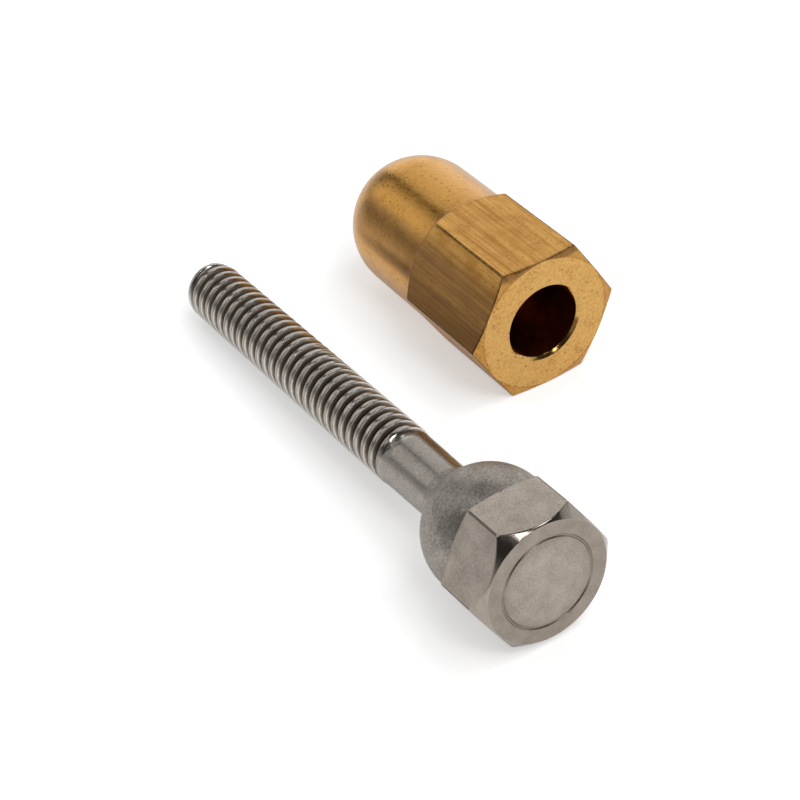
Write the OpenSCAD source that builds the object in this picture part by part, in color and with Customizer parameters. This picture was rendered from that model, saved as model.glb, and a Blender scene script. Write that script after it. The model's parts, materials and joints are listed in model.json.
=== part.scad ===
// Clamp bolt with a ball seat under its hex head, lying beside its domed hex nut.
// Sizes are in millimetres, +Z is up and both pieces rest on z = 0.

/* [Bolt head] */

// width of the hex head across its flats
head_flats = 19.05; // [17:0.05:22]
// from the flat face to the rear ends of the head's corners
head_height = 8.85; // [7:0.05:10]
// how far inside the flats the edge bevel ends, at the face
face_inset = 0.175; // [0.05:0.025:1]
// slope of the front edge bevel, measured from the face
face_bevel_angle = 50; // [20:1:60]
// slope of the rear corner bevel
rear_bevel_angle = 19; // [10:1:35]

/* [Face ring] */

// outer diameter of the fine ring groove in the face
ring_d = 14.4; // [10:0.1:16]
// width of the ring groove
ring_width = 0.45; // [0.3:0.05:0.8]
// depth of the ring groove
ring_depth = 0.18; // [0.1:0.02:0.4]

/* [Ball seat] */

// diameter of the ball seat
ball_d = 19.05; // [17:0.05:21]
// from the flat face to the centre of the ball
ball_setback = 13.5; // [12:0.1:16]

/* [Shank] */

// shank diameter where the thread starts
shank_d = 9; // [8.6:0.05:9.4]
// shank diameter at the ball
neck_d = 8.7; // [8:0.05:9]
// radius of the fillet between the ball and the shank
neck_fillet = 0.8; // [0.4:0.1:1.5]

/* [Thread] */

// nominal diameter of the thread
thread_size = 9.525; // [9.2:0.005:10]
// how much smaller than nominal the bolt's thread is cut
thread_play = 0.125; // [0.02:0.005:0.25]
// distance from one thread turn to the next
thread_pitch = 2.117; // [1.5:0.001:2.5]
// width of the flat top of each ridge
thread_crest = 0.74; // [0.5:0.01:1]
// how deep the grooves are cut
thread_depth = 1.1; // [0.7:0.05:1.2]
// slope of the ridges' sides, measured from a plane across the bolt
thread_flank = 14.5; // [5:0.5:20]
// length of the threaded end, up to the tip
thread_length = 60.2; // [50:0.1:64]
// length of the run-out cone between shank and thread
runout_length = 1.2; // [0.6:0.1:3]
// length of the lead taper at the tip
lead_length = 2; // [1:0.1:4]
// diameter of the flat end of the tip
tip_d = 8.3; // [7:0.1:8.8]

/* [Bolt length] */

// overall length, from the head's face to the tip
bolt_length = 96; // [88:0.1:110]

/* [Nut body] */

// width of the nut across its flats
nut_flats = 22.225; // [21:0.025:26]
// from the nut's face to the rear ends of its corners
nut_hex_length = 18.6; // [15:0.1:22]
// how far inside the flats the nut's edge bevel ends, at its face
nut_face_inset = 0.1; // [0.05:0.025:1]
// slope of the nut's front edge bevel, measured from the face
nut_face_bevel = 15; // [8:1:35]
// slope of the nut's rear corner bevel
nut_rear_bevel = 45; // [30:1:60]
// diameter of the round body and of its domed end
dome_d = 22.2; // [18:0.1:22.2]
// overall length, from the nut's face to the top of the dome
nut_length = 45.5; // [40:0.05:52]

/* [Nut bore] */

// diameter of the wide bore that clears the thread
clear_bore_d = 12; // [10.5:0.1:14]
// depth of the wide bore's straight wall
clear_bore_depth = 24.5; // [18:0.1:26]
// width of the bevel at the bore's mouth
mouth_bevel = 0.45; // [0.2:0.05:1]
// angle of the cone at the bottom of the wide bore
drill_angle = 118; // [90:2:140]
// how much wider than the thread the opening in the dome is
entry_clearance = 0.5; // [0.2:0.05:1]

/* [Layout] */

// clear space between the head and the nut
side_gap = 7.65; // [4:0.1:20]
// how far the nut's face lies behind the head's face
nut_setback = 45.3; // [30:0.1:60]

/* [Hidden] */

$fn = 96;
// small overlap that keeps joined solids one piece
bond = 0.05;
// how far a cutting shape reaches past what it cuts
overshoot = 1;

// diameter over the crests of the bolt's thread
thread_d = thread_size - thread_play;

// diameters of the flat faces inside the edge bevels
face_d = head_flats - 2 * face_inset;
nut_face_d = nut_flats - 2 * nut_face_inset;

// across-corners radii of the two hexes
head_corner_r = head_flats / 2 / cos(30);
nut_corner_r = nut_flats / 2 / cos(30);

// rear plane of each hex, where its corner bevel meets the flats
head_rear = head_height + (head_corner_r - head_flats / 2) * tan(rear_bevel_angle);
nut_hex_rear = nut_hex_length + (nut_corner_r - nut_flats / 2) * tan(nut_rear_bevel);

// places along the bolt, measured from the head's face
thread_start = bolt_length - thread_length;
lead_start = bolt_length - lead_length;

// the thread's grooves, counted back from the lead taper to the run-out
groove_mouth = thread_pitch - thread_crest;
groove_turns = floor((lead_start - thread_start) / thread_pitch);

// fillet circle that touches both the ball and the shank
fillet_r = neck_d / 2 + neck_fillet;
fillet_rise = sqrt(pow(ball_d / 2 + neck_fillet, 2) - pow(fillet_r, 2));

// thread and bore of the nut; the tapped wall stands at the thread's minor diameter
tapped_d = thread_size - thread_pitch;
entry_d = thread_size + entry_clearance;
dome_centre = nut_length - dome_d / 2;
cone_depth = (clear_bore_d - tapped_d) / 2 / tan(drill_angle / 2);
entry_rim = dome_centre + sqrt(pow(dome_d / 2, 2) - pow(entry_d / 2, 2));
entry_depth = (entry_d - tapped_d) / 2;

// the bolt rests on its thread's first full turn and on the lower of ball and hex
ball_span = lead_start - ball_setback;
ball_tilt = asin(ball_d / 2 / norm([ball_span, thread_d / 2])) - atan2(thread_d / 2, ball_span);
hex_tilt = atan((head_flats - thread_d) / 2 / (lead_start - head_rear));
bolt_tilt = max(ball_tilt, hex_tilt);
face_height = lead_start * sin(bolt_tilt) + thread_d / 2 * cos(bolt_tilt);

// the nut rests on a flat, or on its round body where that is the wider one
nut_height = max(nut_flats, dome_d) / 2;

// the origin is the centre of the base of both pieces together
bolt_reach = bolt_length * cos(bolt_tilt) + tip_d / 2 * sin(bolt_tilt);
face_lean = face_d / 2 * sin(bolt_tilt);
total_back = max(bolt_reach, nut_setback + nut_length);
total_y = 2 * head_corner_r + side_gap + 2 * nut_corner_r;
bolt_x = (total_back - face_lean) / 2;
bolt_y = head_corner_r - total_y / 2;
nut_x = bolt_x - nut_setback;
nut_y = total_y / 2 - nut_corner_r;

// Hex prism with flats facing local +X and -X, cut back at its corners by two cones.
module hex_body(flats, face, front_angle, rear, rear_angle) {
    corner = flats / 2 / cos(30);
    limit = corner + overshoot;
    front_drop = (limit - face / 2) * tan(front_angle);
    rear_drop = (limit - flats / 2) * tan(rear_angle);
    intersection() {
        rotate(30)
            cylinder(r = corner, h = rear, $fn = 6);
        rotate_extrude()
            polygon([
                [0, 0],
                [face / 2, 0],
                [limit, front_drop],
                [limit, rear - rear_drop],
                [flats / 2, rear],
                [0, rear]
            ]);
    }
}

// Ball seat that shares the axis of the bolt.
module ball_seat() {
    translate([0, 0, ball_setback])
        sphere(d = ball_d);
}

// Ring of metal that rounds the corner between the ball and the shank.
module neck_ring() {
    touch = ball_d / (ball_d + 2 * neck_fillet);
    inside = neck_d / 2 - overshoot;
    rotate_extrude()
        difference() {
            polygon([
                [inside, ball_setback + fillet_rise * touch - overshoot],
                [fillet_r * touch, ball_setback + fillet_rise * touch],
                [fillet_r, ball_setback + fillet_rise],
                [inside, ball_setback + fillet_rise]
            ]);
            translate([fillet_r, ball_setback + fillet_rise])
                circle(r = neck_fillet);
        }
}

// Drafted shank, from inside the ball up to the run-out cone.
module shank() {
    base = ball_setback + fillet_rise;
    translate([0, 0, ball_setback])
        cylinder(d = neck_d, h = fillet_rise + bond);
    translate([0, 0, base])
        cylinder(d1 = neck_d, d2 = shank_d, h = thread_start - runout_length - base + bond);
}

// Trapezoid groove of one turn, closed on itself as a ring.
module thread_groove() {
    side = thread_depth * tan(thread_flank);
    flare = bond * tan(thread_flank);
    root = thread_d / 2 - thread_depth;
    rotate_extrude()
        polygon([
            [root, side],
            [thread_d / 2 + bond, -flare],
            [thread_d / 2 + bond, groove_mouth + flare],
            [root, groove_mouth - side]
        ]);
}

// Threaded end with its row of grooves, run-out, lead taper and flat tip.
module threaded_end() {
    difference() {
        union() {
            translate([0, 0, thread_start - runout_length])
                cylinder(d1 = shank_d, d2 = thread_d, h = runout_length);
            translate([0, 0, thread_start])
                cylinder(d = thread_d, h = thread_length - lead_length);
            translate([0, 0, lead_start])
                cylinder(d1 = thread_d, d2 = tip_d, h = lead_length);
        }
        for (turn = [0 : groove_turns])
            translate([0, 0, lead_start - turn * thread_pitch])
                thread_groove();
    }
}

// Fine ring groove that frames the plain middle of the face.
module ring_groove() {
    difference() {
        translate([0, 0, -overshoot])
            cylinder(d = ring_d, h = overshoot + ring_depth);
        translate([0, 0, -2 * overshoot])
            cylinder(d = ring_d - 2 * ring_width, h = 3 * overshoot + ring_depth);
    }
}

module bolt() {
    color("silver")
        translate([bolt_x, bolt_y, face_height])
            rotate([0, -90 - bolt_tilt, 0])
                difference() {
                    union() {
                        hex_body(head_flats, face_d, face_bevel_angle, head_rear, rear_bevel_angle);
                        ball_seat();
                        neck_ring();
                        shank();
                        threaded_end();
                    }
                    ring_groove();
                }
}

// Round body of the nut with its half-ball end, started inside the hex.
module domed_body() {
    translate([0, 0, nut_hex_length / 2])
        cylinder(d = dome_d, h = dome_centre - nut_hex_length / 2);
    translate([0, 0, dome_centre])
        sphere(d = dome_d);
}

// Wide bore from the hex end, then the tapped hole out through the dome.
module stepped_bore() {
    translate([0, 0, -mouth_bevel])
        cylinder(d1 = clear_bore_d + 4 * mouth_bevel, d2 = clear_bore_d, h = 2 * mouth_bevel);
    translate([0, 0, -overshoot])
        cylinder(d = clear_bore_d, h = overshoot + clear_bore_depth);
    translate([0, 0, clear_bore_depth])
        cylinder(d1 = clear_bore_d, d2 = tapped_d, h = cone_depth);
    translate([0, 0, clear_bore_depth])
        cylinder(d = tapped_d, h = nut_length - clear_bore_depth + overshoot);
    translate([0, 0, entry_rim - entry_depth])
        cylinder(d1 = tapped_d, d2 = tapped_d + 4 * entry_depth, h = 2 * entry_depth);
}

module nut() {
    color("goldenrod")
        translate([nut_x, nut_y, nut_height])
            rotate([0, -90, 0])
                difference() {
                    union() {
                        hex_body(nut_flats, nut_face_d, nut_face_bevel, nut_hex_rear, nut_rear_bevel);
                        domed_body();
                    }
                    stepped_bore();
                }
}

bolt();
nut();
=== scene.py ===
import json
import math

import bmesh
import bpy
import numpy as np
from mathutils import Matrix, Vector


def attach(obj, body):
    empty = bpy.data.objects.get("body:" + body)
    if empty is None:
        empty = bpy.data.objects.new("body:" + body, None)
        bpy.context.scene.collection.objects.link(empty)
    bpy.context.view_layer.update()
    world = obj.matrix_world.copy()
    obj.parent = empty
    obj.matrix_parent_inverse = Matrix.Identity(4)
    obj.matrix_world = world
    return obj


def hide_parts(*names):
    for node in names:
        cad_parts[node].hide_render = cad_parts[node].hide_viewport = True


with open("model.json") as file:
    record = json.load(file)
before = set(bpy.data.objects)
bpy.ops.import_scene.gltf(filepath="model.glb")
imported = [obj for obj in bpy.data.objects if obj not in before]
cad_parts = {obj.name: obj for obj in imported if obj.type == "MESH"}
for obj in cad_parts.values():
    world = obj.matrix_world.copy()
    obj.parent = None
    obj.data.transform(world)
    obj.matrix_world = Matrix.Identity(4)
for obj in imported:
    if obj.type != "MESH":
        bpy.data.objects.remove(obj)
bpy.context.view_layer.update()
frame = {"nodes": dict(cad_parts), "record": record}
mounts = {m["name"]: m for m in frame["record"]["mounts"]}
mm = 0.001
print("frame loaded:", sorted(frame["nodes"]))


def degTan(angle):
    return math.tan(math.radians(angle))


def lieAlong(place, axis):
    # local z runs along axis and local x stays as upright as it can
    z = Vector(axis).normalized()
    up = Vector((0, 0, 1))
    x = (up - z * up.dot(z)).normalized()
    y = z.cross(x)
    turn = Matrix((x, y, z)).transposed().to_4x4()
    return Matrix.Translation(Vector(place)) @ turn


reachShare = 0.45      # a rounding takes at most this share of each side
straight = 1e-3        # a corner closer to straight than this, in radians, stays as it is
shortSide = 1e-6       # a side shorter than this, in mm, has no direction
spread = 0.001         # how far a straight corner's points stand apart, mm
mergeGap = 0.002       # points closer than this are one point, mm
thinFace = 0.001       # faces thinner than this go, mm


def roundCorners(corners, steps):
    # corners are (radius, height, rounding, slot); a rounded one becomes a short arc
    out = []
    last = len(corners) - 1
    for i, (r, z, size, _) in enumerate(corners):
        p = np.array((r, z), float)
        if size == 0 or i in (0, last):
            out.append(p)
            continue
        a = np.array(corners[i - 1][:2], float) - p
        b = np.array(corners[i + 1][:2], float) - p
        lengthA, lengthB = np.linalg.norm(a), np.linalg.norm(b)
        if min(lengthA, lengthB) < shortSide:
            out += [p] * (steps + 1)
            continue
        a, b = a / lengthA, b / lengthB
        half = math.acos(float(np.clip(a @ b, -1, 1))) / 2
        if half > math.pi / 2 - straight:
            out += [p + (b * t - a * (1 - t)) * spread for t in np.linspace(0, 1, steps + 1)]
            continue
        reach = min(size / math.tan(half), reachShare * lengthA, reachShare * lengthB)
        radius = reach * math.tan(half)
        centre = p + (a + b) / np.linalg.norm(a + b) * radius / math.sin(half)
        start, end = p + a * reach - centre, p + b * reach - centre
        sweep = math.pi - 2 * half
        for t in np.linspace(0, 1, steps + 1):
            mixed = start * math.sin((1 - t) * sweep) + end * math.sin(t * sweep)
            out.append(centre + mixed / math.sin(sweep))
    return out


def cornerRows(corners, steps):
    # the slot and the edge mask of each row that roundCorners makes
    slots, edge = [], []
    last = len(corners) - 1
    for i, (_, _, size, slot) in enumerate(corners):
        if size == 0 or i in (0, last):
            slots.append(slot)
            edge.append(0.0)
        else:
            slots += [slot] * (steps + 1)
            edge += [0.3] + [1.0] * (steps - 1) + [0.3]
    return slots, edge


def hexRadius(angle, apothem, rounding):
    # distance from the axis to a hexagon with rounded corners, its flats facing angle 0
    half = math.pi / 6
    off = abs(angle % (2 * half) - half)
    centre = (apothem - rounding) / math.cos(half)
    touch = math.atan2(rounding * math.sin(half), centre + rounding * math.cos(half))
    if off < touch:
        return centre * math.cos(off) + math.sqrt(rounding ** 2 - (centre * math.sin(off)) ** 2)
    return apothem / math.cos(half - off)


cornerColumns = (-1.1, -0.75, -0.4, 0, 0.4, 0.75, 1.1)    # degrees from each corner of the hexes
sideColumns = np.linspace(3.0, 57.0, 19)


def columnAngles():
    # even columns along each flat, with a few more across each rounded corner
    angles = []
    for side in range(6):
        corner = 30 + side * 60
        angles += [corner + v for v in (*cornerColumns, *sideColumns)]
    return np.radians(sorted(v % 360 for v in angles))


angles = columnAngles()
columns = len(angles)


class Surface:
    # collects rings of points round an axis, and the faces between them

    def __init__(self):
        self.points = []
        self.faces = []
        self.slots = []
        self.values = {"edge": [], "depth": []}

    def addGrid(self, rings, slots, edge, depth, shift=0):
        # rings[j][i] is the point of ring j at column i; shift makes the rings a helix
        base = len(self.points)
        count = len(rings)
        for j in range(count):
            self.points += [tuple(p) for p in rings[j]]
            self.values["edge"] += list(edge[j])
            self.values["depth"] += list(depth[j])
        for j in range(count - 1):
            for i in range(columns):
                right, up = i + 1, 0
                if right == columns:
                    right, up = 0, shift
                if j + up + 1 >= count:
                    continue
                a, b = base + j * columns + i, base + (j + up) * columns + right
                c, d = b + columns, a + columns
                self.faces.append((a, b, c, d))
                self.slots.append(slots[j])

    def addCap(self, ring, height, slot):
        base = len(self.points)
        self.points += [tuple(p) for p in ring] + [(0.0, 0.0, height)]
        self.values["edge"] += [0.0] * (columns + 1)
        self.values["depth"] += [0.0] * (columns + 1)
        for i in range(columns):
            self.faces.append((base + i, base + (i + 1) % columns, base + columns))
            self.slots.append(slot)

    def makeObject(self, name, materials, matrix):
        # the mesh takes its place in the frame, and keeps its own millimetres in "place"
        mesh = bpy.data.meshes.new(name)
        mesh.from_pydata([matrix @ (Vector(p) * mm) for p in self.points], [], self.faces)
        own = mesh.attributes.new("place", "FLOAT_VECTOR", "POINT")
        own.data.foreach_set("vector", np.array(self.points).ravel())
        for key, numbers in self.values.items():
            layer = mesh.attributes.new(key, "FLOAT", "POINT")
            layer.data.foreach_set("value", numbers)
        for material in materials:
            mesh.materials.append(material)
        mesh.polygons.foreach_set("material_index", self.slots)
        work = bmesh.new()
        work.from_mesh(mesh)
        bmesh.ops.remove_doubles(work, verts=work.verts, dist=mergeGap * mm)
        bmesh.ops.dissolve_degenerate(work, edges=work.edges, dist=thinFace * mm)
        bmesh.ops.recalc_face_normals(work, faces=work.faces)
        for face in work.faces:
            face.smooth = True
        work.to_mesh(mesh)
        work.free()
        piece = bpy.data.objects.new(name, mesh)
        bpy.context.scene.collection.objects.link(piece)
        crisp = piece.modifiers.new("crisp", "WEIGHTED_NORMAL")
        crisp.mode = "FACE_AREA"
        crisp.weight = 50
        crisp.keep_sharp = False
        return piece


def ringPoints(radii, height):
    heights = np.broadcast_to(height, (columns,))
    return np.stack([radii * np.cos(angles), radii * np.sin(angles), heights], axis=1)


thread = {
    "size": 9.525,         # nominal diameter, mm
    "play": 0.125,         # how much smaller the bolt's crests are
    "pitch": 2.117,
    "flank": 14.5,         # slope of each flank, degrees
    "crest": 0.74,         # width of the flat crest
    "depth": 1.1,
    "crestRound": 0.10,
    "rootRound": 0.14,
    "rootPlace": 36.431,   # a groove's middle, from the head's face
    "rootAngle": -75.4,    # and the side of the bolt where it is there
}


def threadShape():
    # one turn's profile as (share of pitch, depth) pairs, from the middle of a crest
    pitch, crest, depth = thread["pitch"], thread["crest"], thread["depth"]
    run = depth * degTan(thread["flank"])
    corners = [(0, 0, 0, 0), (crest / 2, 0, thread["crestRound"], 0)]
    corners += [(crest / 2 + run, depth, thread["rootRound"], 0)]
    corners += [(pitch - crest / 2 - run, depth, thread["rootRound"], 0)]
    corners += [(pitch - crest / 2, 0, thread["crestRound"], 0), (pitch, 0, 0, 0)]
    return np.array(roundCorners(corners, 3)[:-1]) / (pitch, 1)


def helixRings(first, last, radiusAt, phase):
    # rings that follow the helix, held at first and last
    shape = threadShape()
    pitch = thread["pitch"]
    share = angles / (2 * math.pi)
    turnFrom = math.floor((first - phase) / pitch) - 2
    turnTo = math.ceil((last - phase) / pitch) + 1
    closed = np.append(shape, [[1, shape[0][1]]], axis=0)
    rings, depths = [], []
    for turn in range(turnFrom, turnTo + 1):
        for u, d in shape:
            height = phase + pitch * (turn + u + share)
            held = np.clip(height, first, last)
            there = ((held - phase) / pitch - share) % 1
            cut = np.where(held == height, d, np.interp(there, closed[:, 0], closed[:, 1]))
            radii, groove = radiusAt(held, cut)
            rings.append(ringPoints(radii, held))
            depths.append(groove)
    return rings, depths, len(shape)


def hexRings(section, apothem, rounding, wornWidth, steps=3):
    # section(radius) gives the corners of the profile where the hex has that radius
    radii = [hexRadius(a, apothem, rounding) for a in angles]
    profiles = np.array([roundCorners(section(r), steps) for r in radii])
    rings = [ringPoints(profiles[:, j, 0], profiles[:, j, 1]) for j in range(profiles.shape[1])]
    slots, edge = cornerRows(section(radii[0]), steps)
    # the hex's upright edges count as edges too, between its two bevels
    nearCorner = np.array([1.0 if abs(math.degrees(a) % 60 - 30) < wornWidth else 0.0 for a in angles])
    masks = [np.maximum(e, nearCorner * (s == flatSlot)) for e, s in zip(edge, slots)]
    return rings, slots, masks


flatSlot = 1    # both pieces keep their hex flats in this material slot
boltSlot = {"face": 0, "flats": flatSlot, "bevel": 2, "rear": 3, "ball": 4, "thread": 5, "shank": 6}
nutSlot = {"face": 0, "flats": flatSlot, "bevel": 2, "turned": 3, "bore": 4, "mouth": 5}

bolt = {
    "headFlats": 19.05, "headHeight": 8.85, "faceInset": 0.175, "frontSlope": 50, "rearSlope": 19,
    "cornerRound": 0.4, "edgeRound": 0.1, "frontRound": 0.4, "wornWidth": 0.9,
    "rearRound": 0.12, "flatStart": 0.33, "flatEnd": 0.5,
    "ring": 14.4, "ringWidth": 0.45, "ringDepth": 0.18, "ringRound": 0.06,
    "ringSlope": 0.3, "ringMargin": 1.5,
    "ball": 19.05, "ballPlace": 13.5, "ballRound": 0.25, "neck": 8.7, "neckFillet": 0.8, "shank": 9.0,
    "ballRows": 24, "filletRows": 7, "shankRows": 9,
    "length": 96.0, "threadLength": 60.2, "runout": 1.2, "washout": 0.5,
    "lead": 2.0, "tip": 8.3, "tipRound": 0.35, "tipRows": 4, "tipWorn": 0.6,
}


def boltSection(hexR):
    b = bolt
    apothem = b["headFlats"] / 2
    face = apothem - b["faceInset"]
    front = (hexR - face) * degTan(b["frontSlope"])
    rearPlane = b["headHeight"] + (apothem / math.cos(math.pi / 6) - apothem) * degTan(b["rearSlope"])
    rear = rearPlane - (hexR - apothem) * degTan(b["rearSlope"])
    ringR, ballR = b["ring"] / 2, b["ball"] / 2
    slope = b["ringWidth"] * b["ringSlope"]
    ringIn, ringRound = ringR - b["ringWidth"], b["ringRound"]
    faceSlot, bevelSlot, rearSlot = (boltSlot[k] for k in ("face", "bevel", "rear"))
    corners = [
        (0, 0, 0, faceSlot),
        (ringIn - b["ringMargin"], 0, 0, faceSlot),
        (ringIn, 0, ringRound, faceSlot),
        (ringIn + slope, b["ringDepth"], ringRound, faceSlot),
        (ringR - slope, b["ringDepth"], ringRound, faceSlot),
        (ringR, 0, ringRound, faceSlot),
        (face, 0, b["edgeRound"], bevelSlot),
        (hexR, front, b["frontRound"], bevelSlot),
        (hexR, front + b["flatStart"], 0, flatSlot),
        (hexR, rear - b["flatEnd"], 0, flatSlot),
        (hexR, rear, b["edgeRound"], rearSlot),
        (apothem, rearPlane, b["rearRound"], rearSlot),
    ]
    # the ball, from the head's rear plane round to the neck fillet
    sink = b["ballPlace"] - rearPlane
    filletR = b["neck"] / 2 + b["neckFillet"]
    rise = math.sqrt((ballR + b["neckFillet"]) ** 2 - filletR ** 2)
    first = math.atan2(-sink, math.sqrt(ballR ** 2 - sink ** 2))
    last = math.atan2(rise, filletR)
    ballSlot = boltSlot["ball"]
    corners.append((ballR * math.cos(first), rearPlane, b["ballRound"], ballSlot))
    for a in np.linspace(first, last, b["ballRows"])[1:]:
        corners.append((ballR * math.cos(a), b["ballPlace"] + ballR * math.sin(a), 0, ballSlot))
    # the fillet turns the ball's surface into the shank's
    for a in np.linspace(last + math.pi, math.pi, b["filletRows"])[1:]:
        x = filletR + b["neckFillet"] * math.cos(a)
        corners.append((x, b["ballPlace"] + rise + b["neckFillet"] * math.sin(a), 0, ballSlot))
    base = b["ballPlace"] + rise
    end = b["length"] - b["threadLength"] - b["runout"]
    for t in np.linspace(0, 1, b["shankRows"])[1:]:
        radius = b["neck"] / 2 + (b["shank"] - b["neck"]) / 2 * t
        corners.append((radius, base + (end - base) * t, 0, boltSlot["shank"]))
    return corners


def boltThreadRadius(height, cut):
    b = bolt
    crest = (thread["size"] - thread["play"]) / 2
    threadStart = b["length"] - b["threadLength"]
    start = threadStart - b["runout"]
    places = [start, threadStart, b["length"] - b["lead"], b["length"]]
    outer = np.interp(height, places, [b["shank"] / 2, crest, crest, b["tip"] / 2])
    fade = np.clip((height - start) / b["washout"], 0, 1)
    fade = fade * fade * (3 - 2 * fade)
    radii = np.minimum(outer, crest - cut * fade)
    return radii, np.clip((outer - radii) / thread["depth"], 0, 1)


def makeBolt(materials):
    b = bolt
    surface = Surface()
    rings, slots, edge = hexRings(boltSection, b["headFlats"] / 2, b["cornerRound"], b["wornWidth"])
    surface.addGrid(rings, slots, edge, np.zeros((len(rings), columns)))
    start = b["length"] - b["threadLength"] - b["runout"]
    end = b["length"] - b["tipRound"]
    angleShare = math.radians(thread["rootAngle"]) / (2 * math.pi)
    phase = thread["rootPlace"] - thread["pitch"] * (0.5 + angleShare)
    rings, depths, turnRows = helixRings(start, end, boltThreadRadius, phase)
    flat = np.zeros((len(rings), columns))
    threadSlot = boltSlot["thread"]
    surface.addGrid(rings, [threadSlot] * len(rings), flat, depths, shift=turnRows)
    # rounded rim and flat end of the tip
    ring = rings[-1]
    radii = np.hypot(ring[:, 0], ring[:, 1])
    rim = [ring]
    for turn in np.linspace(0, math.pi / 2, b["tipRows"] + 1)[1:]:
        sine, cosine = math.sin(turn), math.cos(turn)
        rim.append(ringPoints(radii - b["tipRound"] * (1 - cosine), end + b["tipRound"] * sine))
    worn = np.full((len(rim), columns), b["tipWorn"])
    surface.addGrid(rim, [threadSlot] * len(rim), worn, np.zeros((len(rim), columns)))
    surface.addCap(rim[-1], b["length"], threadSlot)
    matrix = lieAlong(mounts["head_face"]["pos_m"], mounts["bolt_thread"]["axis"])
    piece = surface.makeObject("boltBody", materials, matrix)
    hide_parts("bolt")
    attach(piece, "root")
    return piece


nut = {
    "flats": 22.225, "hexLength": 18.6, "faceInset": 0.1, "frontSlope": 15, "rearSlope": 45,
    "cornerRound": 0.5, "edgeRound": 0.2, "faceRound": 1.3, "wornWidth": 0.8,
    "flatEnds": 0.5, "stepRound": 0.05, "bodyStep": 0.05, "bodyRound": 0.03,
    "dome": 22.2, "length": 45.5, "domeRows": 26, "mouthRound": 0.08,
    "bore": 12.0, "boreDepth": 24.5, "mouthBevel": 0.45, "drillAngle": 118, "entryPlay": 0.5,
}


def nutDepths():
    n = nut
    tapped = (thread["size"] - thread["pitch"]) / 2
    entry = (thread["size"] + n["entryPlay"]) / 2
    domeR = n["dome"] / 2
    rim = n["length"] - domeR + math.sqrt(domeR ** 2 - entry ** 2)
    coneDepth = (n["bore"] / 2 - tapped) / degTan(n["drillAngle"] / 2)
    return {"tapped": tapped, "entry": entry, "rim": rim, "cone": coneDepth}


def nutSection(hexR):
    n = nut
    apothem, domeR = n["flats"] / 2, n["dome"] / 2
    face = apothem - n["faceInset"]
    front = (hexR - face) * degTan(n["frontSlope"])
    rearPlane = n["hexLength"] + (apothem / math.cos(math.pi / 6) - apothem) * degTan(n["rearSlope"])
    rear = rearPlane - (hexR - apothem) * degTan(n["rearSlope"])
    entry = nutDepths()["entry"]
    boreR, mouth = n["bore"] / 2, n["mouthBevel"]
    turned = nutSlot["turned"]
    corners = [(boreR, n["boreDepth"] * t, 0, nutSlot["bore"]) for t in (1, 0.75, 0.5, 0.25)]
    corners += [
        (boreR, mouth, n["mouthRound"], nutSlot["mouth"]),
        (boreR + mouth, 0, n["mouthRound"], nutSlot["face"]),
        (face, 0, n["faceRound"], nutSlot["bevel"]),
        (hexR, front, n["edgeRound"], flatSlot),
        (hexR, front + n["flatEnds"], 0, flatSlot),
        (hexR, rear - n["flatEnds"], 0, flatSlot),
        (hexR, rear, n["edgeRound"], turned),
        (apothem, rearPlane, n["stepRound"], turned),
        (domeR, rearPlane + n["bodyStep"], n["bodyRound"], turned),
    ]
    domePlace = n["length"] - domeR
    corners += [(domeR, rearPlane + (domePlace - rearPlane) * t, 0, turned) for t in (0.25, 0.5, 0.75, 1)]
    last = math.acos(entry / domeR)
    for a in np.linspace(0, last, n["domeRows"])[1:]:
        corners.append((domeR * math.cos(a), domePlace + domeR * math.sin(a), 0, turned))
    return corners


def nutThreadRadius(height, cut):
    n = nut
    tapped, entry, rim, coneDepth = (nutDepths()[k] for k in ("tapped", "entry", "rim", "cone"))
    places = [n["boreDepth"], n["boreDepth"] + coneDepth, rim - (entry - tapped), rim]
    cone = np.interp(height, places, [n["bore"] / 2, tapped, tapped, entry])
    radii = np.maximum(cone, tapped + thread["depth"] - cut)
    return radii, np.clip((radii - tapped) / thread["depth"], 0, 1)


def makeNut(materials):
    n = nut
    surface = Surface()
    rings, slots, edge = hexRings(nutSection, n["flats"] / 2, n["cornerRound"], n["wornWidth"])
    surface.addGrid(rings, slots, edge, np.zeros((len(rings), columns)))
    rim = nutDepths()["rim"]
    rings, depths, turnRows = helixRings(n["boreDepth"], rim, nutThreadRadius, 0.0)
    flat = np.zeros((len(rings), columns))
    surface.addGrid(rings, [nutSlot["turned"]] * len(rings), flat, depths, shift=turnRows)
    face = Vector(mounts["nut_bore"]["pos_m"])
    face.x = mounts["nut_face"]["pos_m"][0]
    piece = surface.makeObject("nutBody", materials, lieAlong(face, mounts["nut_thread"]["axis"]))
    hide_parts("nut")
    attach(piece, "root")
    return piece


def addNode(tree, kind, inputs=None, **settings):
    # a shader node with its settings, and its inputs given as values or sockets
    made = tree.nodes.new("ShaderNode" + kind)
    for key, value in settings.items():
        setattr(made, key, value)
    for key, value in (inputs or {}).items():
        if isinstance(value, bpy.types.NodeSocket):
            tree.links.new(value, made.inputs[key])
        else:
            made.inputs[key].default_value = value
    return made


def addMix(tree, factor, a, b, blend="MIX"):
    made = tree.nodes.new("ShaderNodeMix")
    made.data_type = "RGBA"
    made.blend_type = blend
    for index, value in ((0, factor), (6, a), (7, b)):
        if isinstance(value, bpy.types.NodeSocket):
            tree.links.new(value, made.inputs[index])
        elif index == 0:
            made.inputs[index].default_value = value
        else:
            made.inputs[index].default_value = (*value, 1) if len(value) == 3 else value
    return made.outputs[2]


def addRange(tree, value, fromLow, fromHigh, toLow=0.0, toHigh=1.0, smooth=False):
    made = addNode(tree, "MapRange", {"Value": value, "From Min": fromLow, "From Max": fromHigh,
                                      "To Min": toLow, "To Max": toHigh})
    if smooth:
        made.interpolation_type = "SMOOTHSTEP"
    return made.outputs["Result"]


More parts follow.
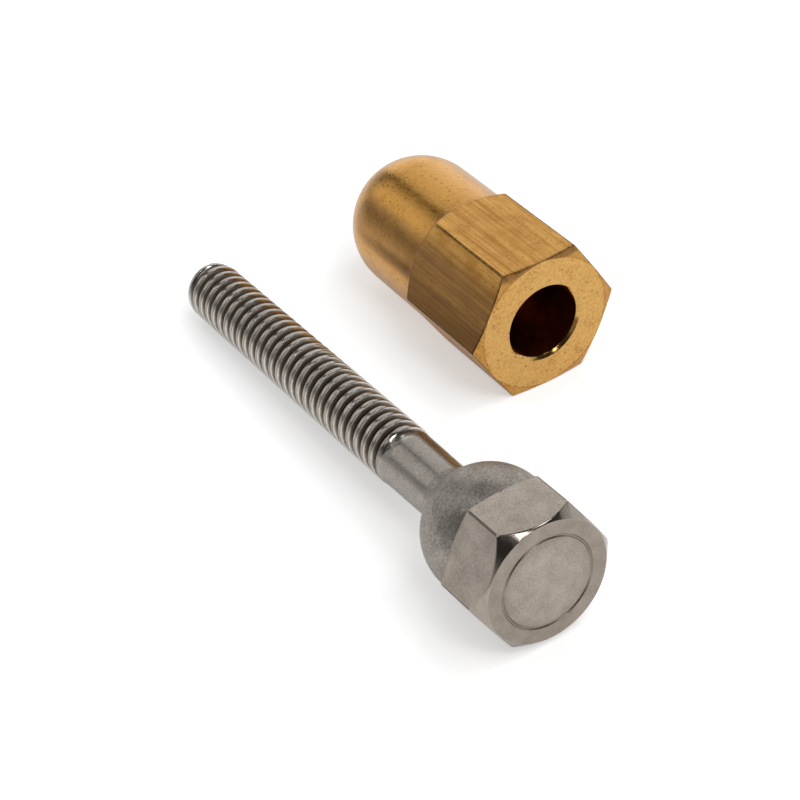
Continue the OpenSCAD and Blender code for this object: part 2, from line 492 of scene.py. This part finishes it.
def addMath(tree, operation, a, b=0.0, c=0.0):
    made = addNode(tree, "Math", {0: a, 1: b, 2: c}, operation=operation)
    return made.outputs[0]


def makeGroup(name, inputs, outputs):
    # an empty group with its sockets, and its inner ends by name
    tree = bpy.data.node_groups.new(name, "ShaderNodeTree")
    for label, kind, value in inputs:
        socket = tree.interface.new_socket(label, in_out="INPUT", socket_type="NodeSocket" + kind)
        if value is not None:
            socket.default_value = value
    for label, kind in outputs:
        tree.interface.new_socket(label, in_out="OUTPUT", socket_type="NodeSocket" + kind)
    return tree, tree.nodes.new("NodeGroupInput").outputs, tree.nodes.new("NodeGroupOutput").inputs


def useGroup(tree, group, inputs):
    made = tree.nodes.new("ShaderNodeGroup")
    made.node_tree = group
    for key, value in inputs.items():
        socket = made.inputs[key]
        if isinstance(value, bpy.types.NodeSocket):
            tree.links.new(value, socket)
        else:
            socket.default_value = (*value, 1) if socket.type == "RGBA" else value
    return made.outputs


def makeGrainGroup():
    # fine blasted grain with a slow mottling over it; sizes are in millimetres
    tree, given, out = makeGroup("blastedGrain", [
        ("Place", "Vector", None), ("Grain Size", "Float", 0.3), ("Mottle Size", "Float", 3.0),
        ("Mottle Share", "Float", 0.4)], [("Height", "Float"), ("Tone", "Float")])
    fineScale = addMath(tree, "DIVIDE", 1.0, given["Grain Size"])
    slowScale = addMath(tree, "DIVIDE", 1.0, given["Mottle Size"])
    fine = addNode(tree, "TexNoise", {"Vector": given["Place"], "Scale": fineScale, "Detail": 3.0,
                                      "Roughness": 0.65}).outputs["Fac"]
    slow = addNode(tree, "TexNoise", {"Vector": given["Place"], "Scale": slowScale, "Detail": 2.0,
                                      "Roughness": 0.5}).outputs["Fac"]
    grain = addRange(tree, fine, 0.3, 0.7)
    mottle = addRange(tree, slow, 0.3, 0.7)
    tone = addNode(tree, "Mix", {0: given["Mottle Share"], 2: grain, 3: mottle})
    tree.links.new(tone.outputs[0], out["Tone"])
    tree.links.new(grain, out["Height"])
    return tree


def makeLinesGroup():
    # fine lines drawn along local z, or cut round it when Turned is 1
    tree, given, out = makeGroup("toolLines", [
        ("Place", "Vector", None), ("Spacing", "Float", 0.15), ("Turned", "Float", 0.0),
        ("Length", "Float", 14.0)], [("Height", "Float"), ("Tone", "Float")])
    parts = addNode(tree, "SeparateXYZ", {0: given["Place"]}).outputs
    stretch = addMath(tree, "DIVIDE", 1.0, given["Length"])
    lengthZ = addMath(tree, "MULTIPLY", parts[2], stretch)
    drawn = addNode(tree, "CombineXYZ", {0: parts[0], 1: parts[1], 2: lengthZ})
    sideX = addMath(tree, "MULTIPLY", parts[0], stretch)
    sideY = addMath(tree, "MULTIPLY", parts[1], stretch)
    turned = addNode(tree, "CombineXYZ", {0: sideX, 1: sideY, 2: parts[2]})
    place = addNode(tree, "Mix", {0: given["Turned"], 4: drawn.outputs[0], 5: turned.outputs[0]},
                    data_type="VECTOR")
    scale = addMath(tree, "DIVIDE", 1.0, given["Spacing"])
    fine = addNode(tree, "TexNoise", {"Vector": place.outputs[1], "Scale": scale, "Detail": 4.0,
                                      "Roughness": 0.7}).outputs["Fac"]
    wideScale = addMath(tree, "MULTIPLY", scale, 0.22)
    wide = addNode(tree, "TexNoise", {"Vector": place.outputs[1], "Scale": wideScale, "Detail": 2.0,
                                      "Roughness": 0.5}).outputs["Fac"]
    lines = addRange(tree, fine, 0.38, 0.62)
    bands = addRange(tree, wide, 0.35, 0.65)
    tone = addNode(tree, "Mix", {0: 0.4, 2: lines, 3: bands})
    tree.links.new(tone.outputs[0], out["Tone"])
    tree.links.new(lines, out["Height"])
    return tree


def makeSpotsGroup():
    # scattered small pits or specks, as a mask
    tree, given, out = makeGroup("specks", [
        ("Place", "Vector", None), ("Spacing", "Float", 1.0), ("Share", "Float", 0.3),
        ("Size", "Float", 0.3)], [("Mask", "Float")])
    scale = addMath(tree, "DIVIDE", 1.0, given["Spacing"])
    bent = addNode(tree, "TexNoise", {"Vector": given["Place"], "Scale": 3.0, "Detail": 1.0})
    shift = addNode(tree, "VectorMath", {0: bent.outputs["Color"], "Scale": 0.25}, operation="SCALE")
    place = addNode(tree, "VectorMath", {0: given["Place"], 1: shift.outputs[0]}, operation="ADD")
    cells = addNode(tree, "TexVoronoi", {"Vector": place.outputs[0], "Scale": scale})
    chance = addNode(tree, "SeparateColor", {0: cells.outputs["Color"]}).outputs[0]
    size = addMath(tree, "MULTIPLY", given["Size"], addRange(tree, chance, 0.0, 1.0, 1.0, 0.35))
    spot = addNode(tree, "MapRange", {"Value": cells.outputs["Distance"], "From Min": size,
                                      "From Max": addMath(tree, "MULTIPLY", size, 0.45),
                                      "To Min": 0.0, "To Max": 1.0}).outputs[0]
    kept = addMath(tree, "LESS_THAN", chance, given["Share"])
    tree.links.new(addMath(tree, "MULTIPLY", spot, kept), out["Mask"])
    return tree


def makeWornGroup():
    # worn or dirty edges, broken up by a grain
    tree, given, out = makeGroup("wornEdge", [
        ("Tone", "Color", None), ("Edge", "Float", 0.0), ("Grain", "Float", 0.0),
        ("Grain From", "Float", 0.0), ("Low", "Float", 0.0), ("High", "Float", 1.0),
        ("Worn Tone", "Color", None)], [("Tone", "Color")])
    share = addRange(tree, given["Grain"], given["Grain From"], 1.0, given["Low"], given["High"])
    worn = addMath(tree, "MULTIPLY", given["Edge"], share)
    tree.links.new(addMix(tree, worn, given["Tone"], given["Worn Tone"]), out["Tone"])
    return tree


grainGroup = makeGrainGroup()
linesGroup = makeLinesGroup()
specksGroup = makeSpotsGroup()
wornGroup = makeWornGroup()


def makeAgedShadedGroup():
    # stains, painted shade darkening one side, and specks over a tone; Side points to that side
    tree, given, out = makeGroup("agedAndShadedTone", [
        ("Tone", "Color", None), ("Place", "Vector", None),
        ("Stain", "Float", 0.0), ("Stain Tone", "Color", None),
        ("Side", "Vector", None), ("Side Low", "Float", 0.0), ("Side High", "Float", 1.0),
        ("Shade Amount", "Float", 0.0), ("Shade Tone", "Color", None),
        ("Spacing", "Float", 0.9), ("Share", "Float", 0.7), ("Size", "Float", 0.3),
        ("Speck", "Float", 0.7), ("Speck Tone", "Color", None)], [("Tone", "Color")])
    tone = addMix(tree, given["Stain"], given["Tone"], given["Stain Tone"])
    # painted shade: the part beyond the Side distances is darkened toward the shade tone
    along = addNode(tree, "VectorMath", {0: given["Place"], 1: given["Side"]}, operation="DOT_PRODUCT")
    side = addRange(tree, along.outputs["Value"], given["Side Low"], given["Side High"], smooth=True)
    tone = addMix(tree, addMath(tree, "MULTIPLY", side, given["Shade Amount"]), tone, given["Shade Tone"])
    specks = useGroup(tree, specksGroup, {key: given[key] for key in ("Place", "Spacing", "Share", "Size")})
    speck = addMath(tree, "MULTIPLY", specks["Mask"], given["Speck"])
    tree.links.new(addMix(tree, speck, tone, given["Speck Tone"]), out["Tone"])
    return tree


agedShadedGroup = makeAgedShadedGroup()
print("effects ready")


def startMetal(name, roughness=0.5):
    # a metal with its place in millimetres
    material = bpy.data.materials.new(name)
    material.use_nodes = True
    tree = material.node_tree
    shader = tree.nodes["Principled BSDF"]
    shader.inputs["Metallic"].default_value = 1.0
    shader.inputs["Roughness"].default_value = roughness
    place = addNode(tree, "Attribute", attribute_name="place").outputs["Vector"]
    return material, tree, shader, place


def readMask(tree, name):
    # a mask that the mesh carries at its points
    return addNode(tree, "Attribute", attribute_name=name).outputs["Fac"]


def addGrain(tree, place, size, mottle, share):
    return useGroup(tree, grainGroup, {
        "Place": place, "Grain Size": size, "Mottle Size": mottle, "Mottle Share": share})


def varyRoughness(tree, shader, tone, ends):
    tree.links.new(addRange(tree, tone, 0, 1, *ends), shader.inputs["Roughness"])


def addBump(tree, shader, height, strength, distance):
    bump = addNode(tree, "Bump", {"Height": height, "Strength": strength, "Distance": distance * mm})
    tree.links.new(bump.outputs[0], shader.inputs["Normal"])


steel = {
    "light": (0.51, 0.465, 0.415), "dark": (0.21, 0.19, 0.165), "speck": (0.13, 0.11, 0.09),
    "faceLight": (0.63, 0.55, 0.47), "faceDark": (0.34, 0.295, 0.25), "edge": (0.14, 0.115, 0.09),
    "bevelLight": (0.50, 0.44, 0.38), "bevelDark": (0.42, 0.365, 0.31),
    # the rim tone below is a painted highlight along the crest edges of the thread
    "crest": (0.62, 0.565, 0.505), "rim": (0.92, 0.89, 0.84), "crestHighlightShare": 0.85,
    # the flank and root tones below are painted shade in the thread's grooves, the root darkest
    "flank": (0.22, 0.175, 0.135), "flankLight": (0.30, 0.25, 0.20), "root": (0.055, 0.042, 0.032),
    "faceRoughness": (0.38, 0.30), "polishRoughness": 0.17, "threadRoughness": (0.18, 0.45),
    "blastedRoughness": 0.42, "shankRoughness": 0.25,
}


def makeBlastedSteel(name, relief, rough, contrast):
    material, tree, shader, place = startMetal(name)
    grain = addGrain(tree, place, size=0.36, mottle=2.4, share=0.3)
    specks = useGroup(tree, specksGroup, {"Place": place, "Spacing": 0.5, "Share": 0.8, "Size": 0.36})
    level = addRange(tree, grain["Tone"], 0, 1, 0.6 - contrast, 0.6 + contrast)
    tone = addMix(tree, level, steel["dark"], steel["light"])
    tone = addMix(tree, addMath(tree, "MULTIPLY", specks["Mask"], contrast), tone, steel["speck"])
    tree.links.new(tone, shader.inputs["Base Color"])
    varyRoughness(tree, shader, grain["Tone"], (rough + 0.06, rough - 0.04))
    addBump(tree, shader, grain["Height"], relief, 0.03)
    return material


def makeMachinedSteel(name, turned):
    material, tree, shader, place = startMetal(name)
    grain = addGrain(tree, place, size=0.3, mottle=2.6, share=0.4)
    lines = useGroup(tree, linesGroup, {"Place": place, "Spacing": 0.12, "Turned": turned, "Length": 12.0})
    tone = addMix(tree, grain["Tone"], steel["faceDark"], steel["faceLight"])
    tone = useGroup(tree, wornGroup, {
        "Tone": tone, "Edge": readMask(tree, "edge"), "Grain": grain["Height"], "Low": 0.6, "High": 1.0,
        "Worn Tone": steel["edge"]})["Tone"]
    tree.links.new(tone, shader.inputs["Base Color"])
    varyRoughness(tree, shader, grain["Tone"], steel["faceRoughness"])
    bumps = addMath(tree, "ADD", lines["Height"], grain["Height"])
    addBump(tree, shader, bumps, 0.5, 0.012)
    return material


def makePolishedSteel():
    material, tree, shader, place = startMetal("polishedSteel", steel["polishRoughness"])
    lines = useGroup(tree, linesGroup, {"Place": place, "Spacing": 0.2, "Turned": 1.0, "Length": 6.0})
    specks = useGroup(tree, specksGroup, {"Place": place, "Spacing": 0.5, "Share": 0.35, "Size": 0.3})
    tone = addMix(tree, lines["Tone"], steel["bevelLight"], steel["bevelDark"])
    tone = addMix(tree, addMath(tree, "MULTIPLY", specks["Mask"], 0.5), tone, steel["faceLight"])
    tree.links.new(tone, shader.inputs["Base Color"])
    addBump(tree, shader, lines["Height"], 0.3, 0.01)
    return material


def makeThreadSteel():
    material, tree, shader, place = startMetal("threadSteel")
    depth = readMask(tree, "depth")
    grain = addGrain(tree, place, size=0.2, mottle=1.5, share=0.4)
    lines = useGroup(tree, linesGroup, {"Place": place, "Spacing": 0.1, "Turned": 1.0, "Length": 8.0})
    crest = addMix(tree, lines["Tone"], steel["dark"], steel["crest"])
    # painted highlight: a bright band along each crest edge
    rim = addMath(tree, "MULTIPLY", addRange(tree, depth, 0.0, 0.05),
                  addRange(tree, depth, 0.10, 0.25, 1.0, 0.0))
    crest = addMix(tree, addMath(tree, "MULTIPLY", rim, steel["crestHighlightShare"]), crest, steel["rim"])
    # painted shade: the flanks are darker than the crests, and the roots darker still
    low = addRange(tree, depth, 0.15, 0.5, smooth=True)
    flank = addMix(tree, grain["Tone"], steel["flank"], steel["flankLight"])
    rootShade = addRange(tree, depth, 0.5, 0.95, smooth=True)
    cut = addMix(tree, rootShade, flank, steel["root"])
    tree.links.new(addMix(tree, low, crest, cut), shader.inputs["Base Color"])
    varyRoughness(tree, shader, low, steel["threadRoughness"])
    addBump(tree, shader, lines["Height"], 0.08, 0.01)
    return material


brass = {
    "gold": (0.88, 0.50, 0.135), "goldDark": (0.56, 0.26, 0.052), "brown": (0.26, 0.12, 0.035),
    "faceGold": (0.92, 0.56, 0.185), "faceDark": (0.76, 0.42, 0.12), "stain": (0.48, 0.19, 0.03),
    # the next tone is painted shade for the side of the nut that faces the bolt
    "shadeTone": (0.28, 0.14, 0.055), "shadedSide": 62,    # degrees from straight up to the bolt
    "dirt": (0.09, 0.045, 0.018), "boreLight": (0.50, 0.14, 0.035), "boreDark": (0.28, 0.07, 0.018),
    "drawnRoughness": (0.40, 0.26), "turnedRoughness": (0.22, 0.12), "faceRoughness": 0.34,
    "bevelRoughness": 0.24, "mouthRoughness": 0.12, "boreRoughness": 0.4,
}


def addAgeAndShade(tree, tone, place, grain, stain, sideShade, side, specks, worn, wornTone):
    # side is an angle from straight up towards the bolt, the side that painted shade darkens, and two
    # distances from the axis, in millimetres;
    # specks are spacing, share, size and strength; worn is where the grain starts, low and high
    angle = math.radians(side[0])
    agedShaded = useGroup(tree, agedShadedGroup, {
        "Tone": tone, "Place": place, "Stain": stain, "Stain Tone": brass["stain"],
        "Side": (math.cos(angle), -math.sin(angle), 0), "Side Low": side[1], "Side High": side[2],
        "Shade Amount": sideShade, "Shade Tone": brass["shadeTone"],
        "Spacing": specks[0], "Share": specks[1], "Size": specks[2],
        "Speck": specks[3], "Speck Tone": brass["brown"]})["Tone"]
    return useGroup(tree, wornGroup, {
        "Tone": agedShaded, "Edge": readMask(tree, "edge"), "Grain": grain, "Grain From": worn[0],
        "Low": worn[1], "High": worn[2], "Worn Tone": wornTone})["Tone"]


def makeDrawnBrass():
    material, tree, shader, place = startMetal("drawnBrass")
    lines = useGroup(tree, linesGroup, {"Place": place, "Spacing": 0.4, "Turned": 0.0, "Length": 40.0})
    stain = addGrain(tree, place, size=0.5, mottle=2.8, share=0.6)
    tone = addMix(tree, lines["Tone"], brass["goldDark"], brass["gold"])
    # the flat facing the bolt is darkened here as painted shade
    tone = addAgeAndShade(tree, tone, place, stain["Height"],
                  stain=addRange(tree, stain["Tone"], 0.4, 0.8, 0.0, 0.5),
                  sideShade=addRange(tree, lines["Tone"], 0, 1, 0.95, 0.55), side=(brass["shadedSide"], 10.9, 11.08),
                  specks=(0.9, 0.7, 0.28, 0.7), worn=(0.0, 0.5, 1.0), wornTone=brass["dirt"])
    tree.links.new(tone, shader.inputs["Base Color"])
    varyRoughness(tree, shader, lines["Tone"], brass["drawnRoughness"])
    addBump(tree, shader, lines["Height"], 0.7, 0.03)
    return material


def makeTurnedBrass():
    material, tree, shader, place = startMetal("turnedBrass")
    lines = useGroup(tree, linesGroup, {"Place": place, "Spacing": 0.3, "Turned": 1.0, "Length": 5.0})
    stain = addGrain(tree, place, size=0.45, mottle=3.0, share=0.5)
    tone = addMix(tree, stain["Tone"], brass["goldDark"], brass["gold"])
    # the side of the body and dome facing the bolt is darkened here as painted shade
    tone = addAgeAndShade(tree, tone, place, stain["Height"],
                  stain=addRange(tree, stain["Tone"], 0.5, 0.9, 0.0, 0.65),
                  sideShade=addRange(tree, stain["Tone"], 0, 1, 0.8, 0.4), side=(brass["shadedSide"], 10.2, 10.9),
                  specks=(0.8, 0.9, 0.32, 0.7), worn=(0.0, 0.4, 1.0), wornTone=brass["brown"])
    tree.links.new(tone, shader.inputs["Base Color"])
    varyRoughness(tree, shader, stain["Tone"], brass["turnedRoughness"])
    bumps = addMath(tree, "ADD", lines["Height"], stain["Height"])
    addBump(tree, shader, bumps, 0.6, 0.02)
    return material


def makeFacedBrass(name, roughness, light, dark, topShade):
    material, tree, shader, place = startMetal(name, roughness)
    stain = addGrain(tree, place, size=0.5, mottle=3.2, share=0.5)
    tone = addMix(tree, stain["Tone"], light, dark)
    # the last argument darkens the top of the piece as painted shade
    tone = addAgeAndShade(tree, tone, place, stain["Height"],
                  stain=addRange(tree, stain["Tone"], 0.6, 0.95, 0.0, 0.35), sideShade=topShade, side=(0, 9.6, 10.4),
                  specks=(0.9, 0.7, 0.3, 0.6), worn=(0.2, 0.0, 0.7), wornTone=brass["brown"])
    tree.links.new(tone, shader.inputs["Base Color"])
    addBump(tree, shader, stain["Height"], 0.5, 0.015)
    return material


def makeBoredBrass():
    material, tree, shader, place = startMetal("boredBrass", brass["boreRoughness"])
    stain = addGrain(tree, place, size=0.3, mottle=2.4, share=0.6)
    tone = addMix(tree, stain["Tone"], brass["boreDark"], brass["boreLight"])
    tree.links.new(tone, shader.inputs["Base Color"])
    return material


machined = makeMachinedSteel("machinedSteel", 0.0)
faced = makeMachinedSteel("facedSteel", 1.0)
blasted = makeBlastedSteel("blastedSteel", relief=0.75, rough=steel["blastedRoughness"], contrast=0.6)
shank = makeBlastedSteel("shankSteel", relief=0.15, rough=steel["shankRoughness"], contrast=0.25)
boltPiece = makeBolt([faced, machined, makePolishedSteel(), machined, blasted, makeThreadSteel(), shank])
print("bolt made:", len(boltPiece.data.polygons), "faces")
facedBrass = makeFacedBrass("facedBrass", brass["faceRoughness"], brass["faceGold"], brass["faceDark"], 0.0)
bevelled = makeFacedBrass("bevelledBrass", brass["bevelRoughness"], brass["faceDark"], brass["goldDark"], 0.8)
mouth = makeFacedBrass("mouthBrass", brass["mouthRoughness"], brass["faceGold"], brass["faceDark"], 0.0)
nutPiece = makeNut([facedBrass, makeDrawnBrass(), bevelled, makeTurnedBrass(), makeBoredBrass(), mouth])
print("nut made:", len(nutPiece.data.polygons), "faces")


view = {
    "focal": 2117.0, "heading": 152.429, "down": 38.284, "roll": 7.283, "distance": 0.310563,
    "target": (0.000741, -0.010197, 0.008),
    "sensor": 36.0, "pictureWidth": 800.0, "nearest": 0.01, "farthest": 20.0,
}


def makeCamera():
    # heading, down and roll are in degrees, and focal is in pixels of the picture
    heading, down, roll = (math.radians(view[k]) for k in ("heading", "down", "roll"))
    ahead = Vector((math.cos(down) * math.cos(heading), math.cos(down) * math.sin(heading), -math.sin(down)))
    side = ahead.cross(Vector((0, 0, 1))).normalized()
    lower = ahead.cross(side)
    right = side * math.cos(roll) + lower * math.sin(roll)
    below = lower * math.cos(roll) - side * math.sin(roll)
    camera = bpy.data.cameras.new("camera")
    camera.sensor_width = view["sensor"]
    camera.lens = view["sensor"] * view["focal"] / view["pictureWidth"]
    camera.clip_start = view["nearest"]
    camera.clip_end = view["farthest"]
    seen = bpy.data.objects.new("camera", camera)
    turn = Matrix((right, -below, -ahead)).transposed().to_4x4()
    seen.matrix_world = Matrix.Translation(Vector(view["target"]) - ahead * view["distance"]) @ turn
    bpy.context.scene.collection.objects.link(seen)
    bpy.context.scene.camera = seen


lamps = {    # direction, distance, size, size across, radiance, and whether metal mirrors it
    "backSoftbox": ((-0.66, 0.60, 0.45), 0.8, 1.0, 0.9, 0.76, True),
    "leftSoftbox": ((-0.72, -0.40, 0.57), 0.8, 0.48, 0.48, 0.72, True),
    "glintLamp": ((0.54, -0.05, 0.84), 0.9, 0.2, 0.12, 8.0, True),
    "crestLamp": ((-0.15, -0.33, 0.93), 0.9, 0.06, 0.45, 7.0, True),
    "mouthLamp": ((0.66, 0.10, 0.72), 0.9, 0.12, 0.12, 4.0, True),
    "topLamp": ((0.16, 0.41, 0.90), 0.9, 0.25, 0.25, 4.0, True),
    "farLamp": ((0.2, 0.93, 0.3), 0.9, 0.45, 0.45, 0.35, True),
    "floorLamp": ((0.45, 0.15, 0.88), 1.2, 1.0, 1.0, 1.95, False),
}


def addLamp(name, direction, distance, size, sizeY, radiance, onMetal):
    lamp = bpy.data.lights.new(name, "AREA")
    lamp.shape = "RECTANGLE"
    lamp.size = size
    lamp.size_y = sizeY
    lamp.energy = radiance * math.pi * size * sizeY
    held = bpy.data.objects.new(name, lamp)
    held.visible_glossy = onMetal
    toward = Vector(direction).normalized()
    held.location = toward * distance
    held.rotation_euler = toward.to_track_quat("Z", "Y").to_euler()
    bpy.context.scene.collection.objects.link(held)


studio = {
    "floorHalf": 3.0, "floorDrop": 0.00002,           # metres; the drop keeps it off the pieces
    "floorTone": 0.8, "floorRoughness": 0.9,
    "seenGlow": 0.5, "mirroredGlow": 0.22,            # what the camera and the metals see glowing
    "lowLight": 0.48, "highLight": 0.04, "highPlace": 0.6,
    "sideFrom": 0.5, "sideTo": 0.85, "sideShare": 0.3,    # the room is darker in front
}


def makeFloor():
    mesh = bpy.data.meshes.new("floor")
    half = studio["floorHalf"]
    corners = [(-half, -half, 0), (half, -half, 0), (half, half, 0), (-half, half, 0)]
    mesh.from_pydata(corners, [], [(0, 1, 2, 3)])
    floor = bpy.data.objects.new("floor", mesh)
    floor.location.z = -studio["floorDrop"]
    bpy.context.scene.collection.objects.link(floor)
    material = bpy.data.materials.new("paleFloor")
    material.use_nodes = True
    tree = material.node_tree
    shader = tree.nodes["Principled BSDF"]
    shader.inputs["Base Color"].default_value = (*[studio["floorTone"]] * 3, 1)
    shader.inputs["Roughness"].default_value = studio["floorRoughness"]
    shader.inputs["Specular IOR Level"].default_value = 0.0
    shader.inputs["Emission Color"].default_value = (1, 1, 1, 1)
    rays = addNode(tree, "LightPath").outputs
    glow = addMath(tree, "MULTIPLY", rays["Is Camera Ray"], studio["seenGlow"])
    glow = addMath(tree, "MULTIPLY_ADD", rays["Is Glossy Ray"], studio["mirroredGlow"], glow)
    tree.links.new(glow, shader.inputs["Emission Strength"])
    mesh.materials.append(material)


def makeWorld():
    world = bpy.data.worlds.new("studio")
    world.use_nodes = True
    tree = world.node_tree
    tree.nodes.clear()
    out = tree.nodes.new("ShaderNodeOutputWorld")
    rays = addNode(tree, "LightPath").outputs
    white = addNode(tree, "Background", {"Color": (1, 1, 1, 1), "Strength": 1.0})
    coords = addNode(tree, "TexCoord").outputs["Generated"]
    parts = addNode(tree, "SeparateXYZ", {0: coords}).outputs
    level = addRange(tree, parts[2], 0.0, studio["highPlace"], studio["lowLight"], studio["highLight"],
                     smooth=True)
    front = addRange(tree, parts[0], studio["sideFrom"], studio["sideTo"], 1.0, studio["sideShare"])
    level = addMath(tree, "MULTIPLY", level, front)
    room = addNode(tree, "Background", {"Color": (1, 1, 1, 1), "Strength": level})
    mix = addNode(tree, "MixShader", {0: rays["Is Camera Ray"], 1: room.outputs[0], 2: white.outputs[0]})
    tree.links.new(mix.outputs[0], out.inputs[0])
    bpy.context.scene.world = world


makeCamera()
makeFloor()
makeWorld()
for name, values in lamps.items():
    addLamp(name, *values)
print("studio ready")

bpy.context.scene.view_settings.view_transform = "Standard"
bpy.context.view_layer.update()
